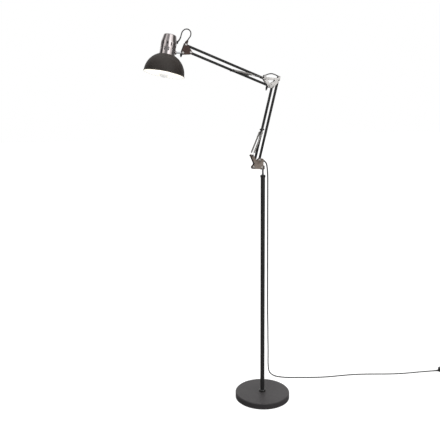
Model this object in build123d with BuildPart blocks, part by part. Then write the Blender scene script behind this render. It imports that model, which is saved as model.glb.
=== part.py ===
from build123d import *
import os
from math import atan2, cos, degrees, hypot, pi, radians, sin, tan

# Adjustable arm floor lamp: round weighted base, pole, swivelling foot bracket, two sprung
# parallelogram arms with an elbow between them, a head bracket and a domed shade on a vented cap.
# Millimetres, +Z up. The origin is the centre of the underside. The arms lie in the XZ plane and
# reach out towards -X.

# ---- driving dimensions -------------------------------------------------------------------
base_d = 244.0
base_h = 28.0
base_wall = 1.6
base_bevel = 3.0
pad_t = 2.0
pad_inset = 6.0
weight_h = 15.0
foot_collar_d = 30.0
foot_collar_h = 9.0

pole_d = 19.0
pole_wall = 1.5
pole_joint_z = 520.0
pole_top_z = 1008.0
collar_wall = 1.5
collar_d = pole_d + 2 * collar_wall
collar_h = 9.5
pole_lap = 3.0
swivel_d = 8.0

bar = 8.5
bar_wall = 1.0
bar_end = 7.0
pivot_d = 5.0
lower_length = 343.0
lower_angle = 74.8
upper_length = 370.0
upper_angle = 161.3
lower_link = (29.0, 28.5)
upper_link = (19.5, -28.0)
elbow_offset = (-36.1, 32.0)
plate_t = 2.0
plate_play = 0.6
boss_r = 7.5
head_size = 4.6
spring_d = 7.5
spring_y = 11.4
stud_share_low = 0.47
stud_share_up = 0.485
stud_d = 4.4

foot_pivot = (-47.0, 1050.0)
foot_ear = (-55.0, 1099.0)
ear_root = (-38.0, 1070.0)
cable_guide = (-5.0, 1080.0)
elbow_ear = (-5.0, 1417.5)
outlet_r = 4.2
peg_d = 3.0
stem_l = 6.5
outlet_offsets = ((0.5, 11.8), (4.0, 11.8))
elbow_stem_angles = (25.0, 150.0)
lead_stem_angle = -28.0
head_outlet_offset = (6.0, 12.9)
head_stem_angle = 55.0
tilt_offset = (-13.3, -30.0)

rod_d = 7.0
head_reach = 61.4
head_lean = 11.7
shade_r = 77.4
shade_drop = 80.8
shade_h = 70.0
sheet = 1.2
cap_r = 29.5
cap_shoulder = 48.0
cap_h = 76.0
cap_top_r = 21.5
vent_count = 12
vent_w = 4.6
vent_l = 14.0
bulb_r = 22.5
bulb_below_rim = 14.0

cable_d = 5.6
loop_d = 4.4
run_fit = 0.08
snug = 0.03
gap = 0.3

os.makedirs("parts", exist_ok=True)


# ---- places worked out from the driving dimensions -----------------------------------------
def away(point, angle, length):
    return (point[0] + length * cos(radians(angle)), point[1] + length * sin(radians(angle)))


def moved(point, offset):
    return (point[0] + offset[0], point[1] + offset[1])


low_front_foot = foot_pivot
low_rear_foot = moved(foot_pivot, lower_link)
low_front_top = away(foot_pivot, lower_angle, lower_length)
low_rear_top = moved(low_front_top, lower_link)
up_top_elbow = moved(low_front_top, elbow_offset)
up_bottom_elbow = moved(up_top_elbow, upper_link)
up_top_head = away(up_top_elbow, upper_angle, upper_length)
up_bottom_head = moved(up_top_head, upper_link)
tilt_pin = moved(up_top_head, tilt_offset)
low_stud = away(low_front_foot, lower_angle, stud_share_low * lower_length)
up_stud = away(up_bottom_elbow, upper_angle, stud_share_up * upper_length)

plate_in = bar / 2 + plate_play
plate_out = plate_in + plate_t
sides = (("near", -1), ("far", 1))

head_axis = (sin(radians(head_lean)), cos(radians(head_lean)))
head_place = (tilt_pin[0] - head_reach, 0, tilt_pin[1])
head_plane = Plane(head_place, x_dir=(head_axis[1], 0, -head_axis[0]), z_dir=(0, -1, 0))
head_round = Plane(head_place, x_dir=(head_axis[1], 0, -head_axis[0]), z_dir=(head_axis[0], 0, head_axis[1]))
head_line = Axis(head_place, (head_axis[0], 0, head_axis[1]))


def save(piece, name):
    piece.part.label = name
    export_step(piece.part, "parts/" + name + ".step")


def section(y):
    # a sketch plane across the arms at depth y; its local x and y are world X and Z
    return Plane((0, y, 0), x_dir=(1, 0, 0), z_dir=(0, -1, 0))


# ---- base ----------------------------------------------------------------------------------
base_r = base_d / 2
bore_r = pole_d / 2 + snug
with BuildPart() as base_cover:
    with BuildSketch(Plane.XZ):
        with BuildLine():
            Polyline(
                (bore_r, base_h), (base_r - base_bevel, base_h), (base_r, base_h - base_bevel),
                (base_r, pad_t), (base_r - base_wall, pad_t),
                (base_r - base_wall, base_h - base_bevel - base_wall / 2),
                (base_r - base_bevel - base_wall / 2, base_h - base_wall), (bore_r, base_h - base_wall),
                close=True,
            )
        make_face()
    revolve(axis=Axis.Z)
save(base_cover, "base_cover")

weight_top = base_h - base_wall - gap
weight_low = weight_top - weight_h
with BuildPart() as base_weight:
    with BuildSketch(Plane.XY.offset(weight_low)):
        Circle(base_r - base_wall - base_bevel)
        Circle(bore_r, mode=Mode.SUBTRACT)
    extrude(amount=weight_h)
    chamfer(base_weight.edges().group_by(Axis.Z)[-1].sort_by(SortBy.LENGTH)[-1], 2)
save(base_weight, "base_weight")

with BuildPart() as base_pad:
    with BuildSketch(Plane.XY):
        Circle(base_r - pad_inset)
    extrude(amount=pad_t)
    with BuildSketch(Plane.XY.offset(pad_t)):
        Circle(base_r - base_wall - 0.2)
    extrude(amount=weight_low - pad_t)
save(base_pad, "base_pad")

with BuildPart() as foot_collar:
    with BuildSketch(Plane.XY.offset(base_h)):
        Circle(foot_collar_d / 2)
        Circle(bore_r, mode=Mode.SUBTRACT)
    extrude(amount=foot_collar_h)
    fillet(foot_collar.edges().group_by(Axis.Z)[-1].sort_by(SortBy.LENGTH)[-1], 3)
save(foot_collar, "foot_collar")

# ---- pole: two steel tubes over a threaded coupler, a nylon bush and a collar on top --------
pole_r = pole_d / 2
for name, low, high in (("pole_lower", weight_low, pole_joint_z), ("pole_upper", pole_joint_z, pole_top_z)):
    with BuildPart() as tube:
        with BuildSketch(Plane.XY.offset(low)):
            Circle(pole_r)
            Circle(pole_r - pole_wall, mode=Mode.SUBTRACT)
        extrude(amount=high - low)
        chamfer(tube.edges().group_by(Axis.Z)[-1].sort_by(SortBy.LENGTH)[-1], 0.4)
    save(tube, name)

coupler_h = 60.0
with BuildPart() as pole_coupler:
    with BuildSketch(Plane.XY.offset(pole_joint_z - coupler_h / 2)):
        Circle(pole_r - pole_wall - snug)
        Circle(pole_r - pole_wall - 2.5, mode=Mode.SUBTRACT)
    extrude(amount=coupler_h)
save(pole_coupler, "pole_coupler")

collar_top = pole_top_z + collar_h - pole_lap
bush_h = 55.0
swivel_r = swivel_d / 2
with BuildPart() as pole_bush:
    with BuildSketch(Plane.XY.offset(pole_top_z - bush_h)):
        Circle(pole_r - pole_wall - snug)
    extrude(amount=bush_h)
    with BuildSketch(Plane.XY.offset(pole_top_z - bush_h + 4)):
        Circle(swivel_r + run_fit)
    extrude(amount=bush_h, mode=Mode.SUBTRACT)
save(pole_bush, "pole_bush")

screw_z = pole_top_z - pole_lap + collar_h * 0.55
with BuildPart() as top_collar:
    with BuildSketch(Plane.XY.offset(collar_top - collar_h)):
        Circle(collar_d / 2)
        Circle(pole_r + snug, mode=Mode.SUBTRACT)
    extrude(amount=pole_lap)
    with BuildSketch(Plane.XY.offset(pole_top_z)):
        Circle(collar_d / 2)
        Circle(swivel_r + run_fit, mode=Mode.SUBTRACT)
    extrude(amount=collar_h - pole_lap)
    chamfer(top_collar.edges().group_by(Axis.Z)[-1].sort_by(SortBy.LENGTH)[-1], 0.8)
    with Locations(Plane((0, 0, screw_z), x_dir=(1, 0, 0), z_dir=(0, -1, 0))):
        Cylinder(1.9, collar_d, align=(Align.CENTER, Align.CENTER, Align.MIN), mode=Mode.SUBTRACT)
save(top_collar, "top_collar")

with BuildPart() as set_screw:
    with BuildSketch(Plane((0, -swivel_r - 0.4, screw_z), x_dir=(1, 0, 0), z_dir=(0, -1, 0))):
        Circle(1.9 - snug)
    extrude(amount=collar_d / 2 - swivel_r)
    with BuildSketch(Plane((0, -collar_d / 2 - 0.5, screw_z), x_dir=(1, 0, 0), z_dir=(0, -1, 0))):
        RegularPolygon(1.1, 6)
    extrude(amount=-1.6, mode=Mode.SUBTRACT)
save(set_screw, "set_screw")


# ---- shared shapes of the arm hardware --------------------------------------------------------
def plates(name, hulls, holes, windows=()):
    # a near and a far sheet, each the union of hulls round bosses, with pivot holes and windows
    for side, sign in sides:
        with BuildPart() as plate:
            for hull in hulls:
                with BuildSketch(section(sign * plate_in)):
                    for point, radius in hull:
                        with Locations(point):
                            Circle(radius)
                    make_hull()
                extrude(amount=-sign * plate_t)
            with BuildSketch(section(sign * plate_in)):
                for point, radius in holes:
                    with Locations(point):
                        Circle(radius)
            extrude(amount=-sign * plate_t, mode=Mode.SUBTRACT)
            for window in windows:
                with BuildSketch(section(sign * plate_in)) as opening:
                    with BuildLine():
                        Polyline(*window, close=True)
                    make_face()
                    fillet(opening.vertices(), 2)
                extrude(amount=-sign * plate_t, mode=Mode.SUBTRACT)
        save(plate, name + "_" + side)


def bolts(name, points, length_far=2.6, head=head_size):
    # shouldered pivot screws right through both plates, domed head near, nut far
    with BuildPart() as bolt:
        for point in points:
            with BuildSketch(section(-plate_out)):
                with Locations(point):
                    Circle(pivot_d / 2)
            extrude(amount=-2 * plate_out)
            with BuildSketch(section(-plate_out)):
                with Locations(point):
                    Circle(head)
            extrude(amount=2.4, taper=18)
            with BuildSketch(section(plate_out)):
                with Locations(point):
                    RegularPolygon(head, 6)
            extrude(amount=-length_far)
    save(bolt, name)


def studs(name, point, start, length, through=False):
    # grooved spring studs that stand out of both plates, or one pin through a bar
    with BuildPart() as stud:
        if through:
            with BuildSketch(section(-start)):
                with Locations(point):
                    Circle(stud_d / 2)
            extrude(amount=-2 * start)
        for side, sign in sides:
            with BuildSketch(section(sign * start)):
                with Locations(point):
                    Circle(stud_d / 2)
            extrude(amount=-sign * length)
            with BuildSketch(section(sign * (start + length - 1.2))):
                with Locations(point):
                    Circle(stud_d / 2 + 1.2)
            extrude(amount=-sign * 1.2)
    save(stud, name)


def arm_bar(name, foot, angle, length, stud_at=None):
    # a square steel tube, cross-drilled at both pivots and where the spring stud goes through
    middle = away(foot, angle, length / 2)
    bar_plane = Plane((middle[0], 0, middle[1]), x_dir=(cos(radians(angle)), 0, sin(radians(angle))), z_dir=(0, -1, 0))
    with BuildPart() as tube:
        with BuildSketch(bar_plane):
            Rectangle(length + 2 * bar_end - 2, bar)
        extrude(amount=bar / 2, both=True)
        fillet(tube.edges().filter_by(Axis((0, 0, 0), bar_plane.x_dir)), 1.2)
        with BuildSketch(bar_plane):
            Rectangle(length + 2 * bar_end, bar - 2 * bar_wall)
        extrude(amount=bar / 2 - bar_wall, both=True, mode=Mode.SUBTRACT)
        with BuildSketch(section(-bar)):
            for point in (foot, away(foot, angle, length)):
                with Locations(point):
                    Circle(pivot_d / 2 + run_fit)
            if stud_at:
                with Locations(stud_at):
                    Circle(stud_d / 2 + snug)
        extrude(amount=-2 * bar, mode=Mode.SUBTRACT)
    save(tube, name)


def arm_plugs(name, foot, angle, length):
    # moulded end plugs: a core pushed into the tube, a flange over its end, the pivot hole across
    core = 16.0
    with BuildPart() as plug:
        for point, turn in ((foot, angle + 180), (away(foot, angle, length), angle)):
            out = (cos(radians(turn)), 0, sin(radians(turn)))
            tip = away(point, turn, bar_end - 1)
            seat = Plane((tip[0], 0, tip[1]), x_dir=(0, 1, 0), z_dir=out)
            with BuildSketch(seat):
                RectangleRounded(bar, bar, 1.2)
            extrude(amount=1)
            with BuildSketch(seat):
                Rectangle(bar - 2 * bar_wall - 0.1, bar - 2 * bar_wall - 0.1)
            extrude(amount=-core)
        with BuildSketch(section(-bar)):
            for point in (foot, away(foot, angle, length)):
                with Locations(point):
                    Circle(pivot_d / 2 + run_fit)
        extrude(amount=-2 * bar, mode=Mode.SUBTRACT)
    save(plug, name)


def springs(name, anchor, stud, coil_share, coil_start):
    # a tension spring on each side: an eye on both studs, a straight rod and the close-wound coil
    reach = hypot(stud[0] - anchor[0], stud[1] - anchor[1])
    turn = degrees(atan2(stud[1] - anchor[1], stud[0] - anchor[0]))
    out = Vector(cos(radians(turn)), 0, sin(radians(turn)))
    wire = 0.8
    eye_r = stud_d / 2 + gap + wire
    for side, sign in sides:
        start = Vector(anchor[0], sign * spring_y, anchor[1])
        with BuildPart() as spring:
            for centre in (anchor, stud):
                with Locations(Plane((centre[0], sign * spring_y, centre[1]), x_dir=(1, 0, 0), z_dir=(0, -1, 0))):
                    Torus(eye_r, wire)
            with BuildSketch(Plane(start + out * eye_r, x_dir=(0, 1, 0), z_dir=out)):
                Circle(wire)
            extrude(amount=reach - 2 * eye_r)
            with BuildSketch(Plane(start + out * coil_start, x_dir=(0, 1, 0), z_dir=out)):
                Circle(spring_d / 2)
            extrude(amount=coil_share)
        save(spring, name + "_" + side)


def outlets(name, places, lead_d):
    # moulded rollers pinned between the plates, each with a short stem that the lead leaves through
    with BuildPart() as outlet:
        for point, angle in places:
            out = (cos(radians(angle)), 0, sin(radians(angle)))
            with BuildSketch(section(-plate_in)):
                with Locations(point):
                    Circle(outlet_r - 0.5)
            extrude(amount=-2 * plate_in)
            with BuildSketch(section(-plate_out)):
                with Locations(point):
                    Circle(peg_d / 2)
            extrude(amount=-2 * plate_out)
            with BuildSketch(Plane((point[0], 0, point[1]), x_dir=(0, 1, 0), z_dir=out)):
                Circle(lead_d / 2 + 0.8)
            extrude(amount=stem_l)
    save(outlet, name)


def wing_nut(name, point, turn, reach, thread):
    # a moulded knob with one flat wing, screwed on the far end of a clamp bolt
    start = plate_out + gap
    hub_plane = Plane((point[0], start, point[1]), x_dir=(1, 0, 0), z_dir=(0, 1, 0))
    with BuildPart() as nut:
        with BuildSketch(hub_plane):
            Circle(5.0)
        extrude(amount=6, taper=4)
        with BuildSketch(hub_plane.offset(3.0)):
            for share, radius in ((0, 4.5), (0.55, 4.3), (1, 2.0)):
                with Locations(away((0, 0), -turn, reach * share)):
                    Circle(radius)
            make_hull()
        extrude(amount=3.6)
        with BuildSketch(hub_plane):
            Circle(thread / 2 + run_fit)
        extrude(amount=30, both=True, mode=Mode.SUBTRACT)
    save(nut, name)


def clamp_bolt(name, point):
    # the long screw that carries a wing nut: domed head near, plain thread end far
    with BuildPart() as bolt:
        with BuildSketch(section(-plate_out)):
            with Locations(point):
                Circle(pivot_d / 2)
        extrude(amount=-(2 * plate_out + gap + 8))
        with BuildSketch(section(-plate_out)):
            with Locations(point):
                Circle(head_size - 0.4)
        extrude(amount=2.4, taper=18)
    save(bolt, name)


# ---- foot bracket: swivel pin, block, two plates, screws, spring ears, cable guide ---------------
block_low = collar_top + 24.0
block_high = block_low + 16.0
block_bolt = (-7.0, block_low + 8.0)
with BuildPart() as swivel_pin:
    with BuildSketch(Plane.XY.offset(pole_top_z - bush_h + 5)):
        Circle(swivel_r)
    extrude(amount=block_low - (pole_top_z - bush_h + 5))
    with BuildSketch(Plane.XY.offset(collar_top + gap)):
        Circle(swivel_r + 2)
    extrude(amount=2)
save(swivel_pin, "swivel_pin")

with BuildPart() as foot_block:
    with BuildSketch(section(-plate_in)):
        with Locations((-3, (block_low + block_high) / 2)):
            Rectangle(18, block_high - block_low)
    extrude(amount=-2 * plate_in)
    fillet(foot_block.edges().filter_by(Axis.Y), 2.5)
    with BuildSketch(section(-plate_in)):
        with Locations(block_bolt):
            Circle(pivot_d / 2 + snug)
    extrude(amount=-2 * plate_in, mode=Mode.SUBTRACT)
save(foot_block, "foot_block")

bolt_hole = pivot_d / 2 + snug
plates(
    "foot_plate",
    (
        ((low_front_foot, boss_r), (low_rear_foot, boss_r), (block_bolt, 6.2)),
        ((ear_root, 8.0), (foot_ear, 5.0)),
        ((low_rear_foot, boss_r), (cable_guide, 4.9), (block_bolt, 6.0)),
    ),
    (
        (low_front_foot, bolt_hole), (low_rear_foot, bolt_hole), (block_bolt, bolt_hole),
        (foot_ear, stud_d / 2 + snug), (cable_guide, peg_d / 2 + snug),
    ),
)
bolts("foot_bolts", (low_front_foot, low_rear_foot, block_bolt))
studs("foot_spring_studs", foot_ear, plate_in, spring_y - plate_in + 2.6)

outlets("lead_guide", ((cable_guide, lead_stem_angle),), cable_d)
lead_out = (cos(radians(lead_stem_angle)), sin(radians(lead_stem_angle)))
lead_start = away(cable_guide, lead_stem_angle, stem_l)

# ---- lower arm: two bars, their plugs, the stud and its springs -----------------------------------
arm_bar("lower_front_bar", low_front_foot, lower_angle, lower_length, low_stud)
arm_plugs("lower_front_plugs", low_front_foot, lower_angle, lower_length)
arm_bar("lower_rear_bar", low_rear_foot, lower_angle, lower_length)
arm_plugs("lower_rear_plugs", low_rear_foot, lower_angle, lower_length)
studs("lower_spring_stud", low_stud, bar / 2, spring_y - bar / 2 + 2.6, through=True)
springs("lower_spring", foot_ear, low_stud, 96.0, 12.0)

# ---- elbow: two windowed plates, pivot screws, rivet, spring ear and a wing nut on one pivot ---------
elbow_rivet = moved(low_front_top, (-7.2, 9.4))
window_top = up_top_elbow[1] - 5.0
window = (
    (up_top_elbow[0] + 9.0, window_top), (low_rear_top[0] - 12.0, window_top),
    (up_bottom_elbow[0] + 4.5, up_bottom_elbow[1] + 7.5),
)
elbow_r = 6.2
elbow_outlets = (moved(up_top_elbow, outlet_offsets[0]), moved(low_rear_top, outlet_offsets[1]))
peg_hole = peg_d / 2 + snug
plates(
    "elbow_plate",
    (
        ((up_top_elbow, elbow_r), (low_rear_top, elbow_r), (low_front_top, elbow_r), (up_bottom_elbow, 7.4)),
        ((up_top_elbow, elbow_r - 1), (elbow_ear, 4.2)),
        ((up_top_elbow, elbow_r), (elbow_outlets[0], outlet_r)),
        ((low_rear_top, elbow_r), (elbow_outlets[1], outlet_r)),
    ),
    (
        (up_top_elbow, bolt_hole), (low_rear_top, bolt_hole), (low_front_top, bolt_hole),
        (up_bottom_elbow, bolt_hole), (elbow_ear, stud_d / 2 + snug), (elbow_rivet, 1.6 + snug),
        (elbow_outlets[0], peg_hole), (elbow_outlets[1], peg_hole),
    ),
    (window,),
)
outlets("elbow_outlets", tuple(zip(elbow_outlets, elbow_stem_angles)), loop_d)
bolts("elbow_bolts", (up_top_elbow, low_rear_top, low_front_top), head=4.2)
clamp_bolt("elbow_clamp_bolt", up_bottom_elbow)
studs("elbow_spring_studs", elbow_ear, plate_in, spring_y - plate_in + 2.6)
with BuildPart() as rivet:
    with BuildSketch(section(-plate_out - 0.8)):
        with Locations(elbow_rivet):
            Circle(1.6)
    extrude(amount=-2 * (plate_out + 0.8))
    with BuildSketch(section(-plate_in)):
        with Locations(elbow_rivet):
            Circle(2.1)
    extrude(amount=-2 * plate_in)
save(rivet, "elbow_rivet")
wing_nut("elbow_wing_nut", up_bottom_elbow, 255, 18.0, pivot_d)

# ---- upper arm ------------------------------------------------------------------------------------
arm_bar("upper_top_bar", up_top_elbow, upper_angle, upper_length)
arm_plugs("upper_top_plugs", up_top_elbow, upper_angle, upper_length)
arm_bar("upper_bottom_bar", up_bottom_elbow, upper_angle, upper_length, up_stud)
arm_plugs("upper_bottom_plugs", up_bottom_elbow, upper_angle, upper_length)
studs("upper_spring_stud", up_stud, bar / 2, spring_y - bar / 2 + 2.6, through=True)
springs("upper_spring", elbow_ear, up_stud, 82.0, 55.0)

# ---- head bracket: two plates, screws, tilt bolt and wing nut ---------------------------------------
head_outlet = moved(up_top_head, head_outlet_offset)
plates(
    "head_plate",
    (
        ((up_top_head, elbow_r), (up_bottom_head, elbow_r), (tilt_pin, elbow_r)),
        ((up_top_head, 4.5), (head_outlet, 3.4)),
    ),
    (
        (up_top_head, bolt_hole), (up_bottom_head, bolt_hole), (tilt_pin, bolt_hole),
        (head_outlet, peg_hole),
    ),
)
outlets("head_outlet", ((head_outlet, head_stem_angle),), loop_d)
bolts("head_bolts", (up_top_head, up_bottom_head), head=4.2)
clamp_bolt("tilt_bolt", tilt_pin)
wing_nut("head_wing_nut", tilt_pin, 262, 13.0, pivot_d)

# ---- knuckle: the eye on the tilt bolt and the rod that the head turns on -----------------------------
boss_out = cap_r + 5.0
rod_end = head_reach - cap_r + sheet + 5.0
rod_plane = Plane((tilt_pin[0], 0, tilt_pin[1]), x_dir=(0, 1, 0), z_dir=(-1, 0, 0))
with BuildPart() as knuckle:
    with BuildSketch(section(-plate_in + plate_play / 2)):
        with Locations(tilt_pin):
            Circle(elbow_r - 0.4)
    extrude(amount=-2 * (plate_in - plate_play / 2))
    with BuildSketch(rod_plane):
        Circle(rod_d / 2)
    extrude(amount=rod_end)
    with BuildSketch(section(-bar)):
        with Locations(tilt_pin):
            Circle(pivot_d / 2 + run_fit)
    extrude(amount=-2 * bar, mode=Mode.SUBTRACT)
save(knuckle, "knuckle")

# ---- lamp head: shade, vented cap, turning boss, lampholder, bulb, lead gland -------------------------
dome_r = shade_r
neck_angle = degrees(atan2(shade_h, (dome_r ** 2 - shade_h ** 2) ** 0.5))
inner_r = dome_r - sheet
inner_angle = degrees(atan2(shade_h - sheet, (inner_r ** 2 - (shade_h - sheet) ** 2) ** 0.5))
holder_r = 19.5
with BuildPart() as shade:
    with BuildSketch(head_plane):
        with BuildLine():
            outer = CenterArc((0, -shade_drop), dome_r, 0, neck_angle)
            top = Line(outer @ 1, (holder_r + 1.0, shade_h - shade_drop))
            drop = Line(top @ 1, (holder_r + 1.0, shade_h - shade_drop - sheet))
            inner = CenterArc((0, -shade_drop), inner_r, inner_angle, -inner_angle)
            Line(drop @ 1, inner @ 0)
            Line(inner @ 1, outer @ 0)
        make_face()
    revolve(axis=head_line)
    with BuildSketch(head_plane):
        with Locations((shade_r - 0.2, -shade_drop)):
            Circle(1.3)
    revolve(axis=head_line)
save(shade, "shade")

cap_low = shade_h - shade_drop + 0.2
shoulder = cap_low + cap_shoulder
cap_high = cap_low + cap_h
with BuildPart() as cap:
    with BuildSketch(head_plane):
        with BuildLine():
            Polyline(
                (cap_r - sheet, cap_low), (cap_r + 1.2, cap_low), (cap_r + 1.2, cap_low + 2.4),
                (cap_r, cap_low + 2.8), (cap_r, shoulder), (cap_top_r + 2.5, cap_high - 2.5),
                (cap_top_r, cap_high), (0, cap_high), (0, cap_high - sheet), (cap_top_r - 0.6, cap_high - sheet),
                (cap_top_r + 2.5 - sheet, cap_high - 3.0), (cap_r - sheet, shoulder - 0.3), close=True,
            )
        make_face()
    revolve(axis=head_line)
    rows = ((cap_low + cap_shoulder * 0.42, 0.0), (cap_low + cap_shoulder * 0.80, 180.0 / vent_count))
    for height, phase in rows:
        for index in range(vent_count):
            turn = radians(phase + 360.0 / vent_count * (index + 0.5))
            side_dir = Vector(head_round.x_dir) * cos(turn) + Vector(0, 1, 0) * sin(turn)
            axis_dir = Vector(head_axis[0], 0, head_axis[1])
            slot_origin = Vector(*head_place) + axis_dir * height + side_dir * (cap_r - 6)
            with BuildSketch(Plane(slot_origin, x_dir=axis_dir, z_dir=side_dir)):
                SlotOverall(vent_l, vent_w)
            extrude(amount=12, mode=Mode.SUBTRACT)
    with BuildSketch(Plane((head_place[0], 0, head_place[2]), x_dir=(0, 1, 0), z_dir=(1, 0, 0)).offset(cap_r - 4)):
        Circle(7.5)
    extrude(amount=boss_out - cap_r + 4)
    with BuildSketch(Plane((head_place[0], 0, head_place[2]), x_dir=(0, 1, 0), z_dir=(1, 0, 0)).offset(cap_r - 12)):
        Circle(rod_d / 2 + run_fit)
    extrude(amount=30, mode=Mode.SUBTRACT)
save(cap, "cap")

gland_s = shoulder + 7.0
gland_lean = atan2(cap_r - cap_top_r - 2.5, cap_high - 2.5 - shoulder)
gland_r = cap_r - 7.0 * tan(gland_lean)
gland_dir = Vector(head_round.x_dir) * cos(gland_lean) + Vector(head_axis[0], 0, head_axis[1]) * sin(gland_lean)
gland_at = Vector(*head_place) + Vector(head_round.x_dir) * gland_r + Vector(head_axis[0], 0, head_axis[1]) * gland_s
gland_stem = 45.0
gland_stem_l = 6.0
stem_dir = Vector(cos(radians(gland_stem)), 0, sin(radians(gland_stem)))
stem_at = gland_at + gland_dir * 4.0
with BuildPart() as head_gland:
    with BuildSketch(Plane(gland_at + gland_dir * 0.2, x_dir=(0, 1, 0), z_dir=gland_dir)):
        Circle(5.8)
    extrude(amount=6.2)
    with BuildSketch(Plane(stem_at, x_dir=(0, 1, 0), z_dir=stem_dir)):
        Circle(loop_d / 2 + 0.8)
    extrude(amount=gland_stem_l)
save(head_gland, "head_gland")

holder_low = shade_h - shade_drop - sheet - 14.0
holder_high = holder_low + 58.0
with BuildPart() as lampholder:
    with BuildSketch(head_round.offset(holder_low)):
        Circle(holder_r)
    extrude(amount=holder_high - holder_low)
    fillet(lampholder.faces().sort_by(head_line)[-1].edges(), 4)
    with BuildSketch(head_round.offset(holder_low)):
        Circle(14.4)
    extrude(amount=30, mode=Mode.SUBTRACT)
save(lampholder, "lampholder")

with BuildPart() as shade_ring:
    with BuildSketch(head_round.offset(shade_h - shade_drop - sheet - 6.3)):
        Circle(holder_r + 5)
        Circle(holder_r + snug, mode=Mode.SUBTRACT)
    extrude(amount=6)
save(shade_ring, "shade_ring")

bulb_s = -shade_drop - bulb_below_rim + bulb_r
with BuildPart() as bulb:
    with BuildSketch(head_plane):
        with BuildLine():
            low = CenterArc((0, bulb_s), bulb_r, -90, 90 + 52)
            neck_start = low @ 1
            neck = Spline(neck_start, (13.4, bulb_s + 32), tangents=(low % 1, (0, 1)))
            Polyline(neck @ 1, (13.4, holder_low + 27), (5, holder_low + 29.4), (0, holder_low + 29.4), low @ 0)
        make_face()
    revolve(axis=head_line)
save(bulb, "bulb")


# ---- leads ------------------------------------------------------------------------------------------
def cable(name, points, width=cable_d):
    # a tube of straight runs and tangent arcs; prints its arcs and its true length
    corners = [Vector(*point) for point in points]
    runs = [corners[i + 1] - corners[i] for i in range(len(corners) - 1)]
    radii = []
    for first, second in zip(runs, runs[1:]):
        half = radians(first.get_angle(second)) / 2
        radii.append(0.45 * min(first.length, second.length) / tan(half))
    with BuildPart() as tube:
        with BuildLine() as path:
            if radii:
                FilletPolyline(*corners, radius=radii)
            else:
                Line(*corners)
        with BuildSketch(Plane(corners[0], z_dir=runs[0].normalized())):
            Circle(width / 2)
        sweep(path=path.wires()[0])
    length = path.wires()[0].length
    print(name, "length", round(length, 1), "radii", [round(r) for r in radii],
          "volume share", round(tube.part.volume / (pi * width ** 2 / 4 * length), 4))
    save(tube, name)
    return length


floor_z = cable_d / 2
grip_r = cable_d / 2 + 1.1
grip_z = grip_r
grip_l = 7.0
hang_top = (25.0, 1.0, 985.0)
hang_low = (26.5, 1.5, 436.0)
hang_rise = (Vector(*hang_top) - Vector(*hang_low)).normalized()
lead_top = [
    (lead_start[0], 0, lead_start[1]), (lead_start[0] + 17.5 * lead_out[0], 0, lead_start[1] + 17.5 * lead_out[1]),
    (22.0, 0.5, 1046.0), Vector(*hang_top) + hang_rise * 20, hang_top,
]
lead_points = [
    hang_top, hang_low, (34.0, 12.0, 368.0), (48.0, 33.0, 306.0), (65.0, 61.0, 250.0),
    (83.0, 89.0, 194.0), (99.0, 115.0, 138.0), (113.0, 139.0, 84.0), (124.0, 153.0, 42.0),
    (136.0, 157.0, 17.0), (156.0, 145.0, floor_z), (184.0, 117.0, floor_z), (214.0, 97.0, floor_z),
    (252.0, 79.0, floor_z), (310.0, 48.0, floor_z), (372.0, 22.0, floor_z), (436.0, 4.0, floor_z),
    (500.0, -15.0, floor_z), (563.0, -41.0, floor_z), (623.0, -72.0, floor_z), (683.0, -102.0, floor_z),
    (750.0, -127.0, floor_z), (826.0, -148.0, floor_z), (902.0, -176.0, grip_z),
]
cable("lead_top", lead_top)
cable("lead_main", lead_points)


def level_way(points):
    # the level direction in which a route on the floor ends
    return Vector(points[-1][0] - points[-2][0], points[-1][1] - points[-2][1], 0).normalized()


switch_l = 62.0
switch_w = 28.0
switch_h = 19.0
switch_edge = 3.0
switch_at = lead_points[-1]
switch_out = level_way(lead_points)
switch_side = Vector(-switch_out.Y, switch_out.X, 0)
switch_mid = Vector(switch_at[0], switch_at[1], 0) + switch_out * (grip_l + switch_l / 2)
rocker_l = 17.0
rocker_w = 13.0
rocker_play = 1.2
rocker_deep = 9.0
rocker_axis_z = switch_h - 3.5
rocker_pin_r = 1.2
rocker_lean = 8.0
with BuildPart() as switch_body:
    with BuildSketch(Plane(switch_mid, x_dir=switch_out, z_dir=(0, 0, 1))):
        SlotOverall(switch_l, switch_w)
    extrude(amount=switch_h)
    fillet(switch_body.edges().group_by(Axis.Z)[-1], switch_edge)
    with BuildSketch(Plane((switch_at[0], switch_at[1], grip_z), x_dir=switch_side, z_dir=switch_out)):
        Circle(grip_r)
    extrude(amount=switch_l + 2 * grip_l)
    with BuildSketch(Plane(switch_mid + Vector(0, 0, switch_h), x_dir=switch_out, z_dir=(0, 0, 1))):
        Rectangle(rocker_l + 2 * rocker_play, rocker_w + rocker_play)
    extrude(amount=-rocker_deep, mode=Mode.SUBTRACT)
    with BuildSketch(Plane(switch_mid + Vector(0, 0, rocker_axis_z), x_dir=switch_out, z_dir=switch_side * -1)):
        Circle(rocker_pin_r + run_fit)
    extrude(amount=rocker_w / 2 + 2.4, both=True, mode=Mode.SUBTRACT)
save(switch_body, "switch_body")

rocker_along = switch_out * cos(radians(rocker_lean)) - Vector(0, 0, sin(radians(rocker_lean)))
with BuildPart() as switch_rocker:
    with BuildSketch(Plane(switch_mid + Vector(0, 0, rocker_axis_z), x_dir=rocker_along, z_dir=switch_side * -1)):
        with BuildLine():
            Polyline(
                (-rocker_l / 2, -1.6), (rocker_l / 2, -1.6), (rocker_l / 2, 6.1), (0, 4.7),
                (-rocker_l / 2, 6.1), close=True,
            )
        make_face()
    extrude(amount=rocker_w / 2, both=True)
    with BuildSketch(Plane(switch_mid + Vector(0, 0, rocker_axis_z), x_dir=rocker_along, z_dir=switch_side * -1)):
        Circle(rocker_pin_r)
    extrude(amount=rocker_w / 2 + 2.1, both=True)
save(switch_rocker, "switch_rocker")

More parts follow.
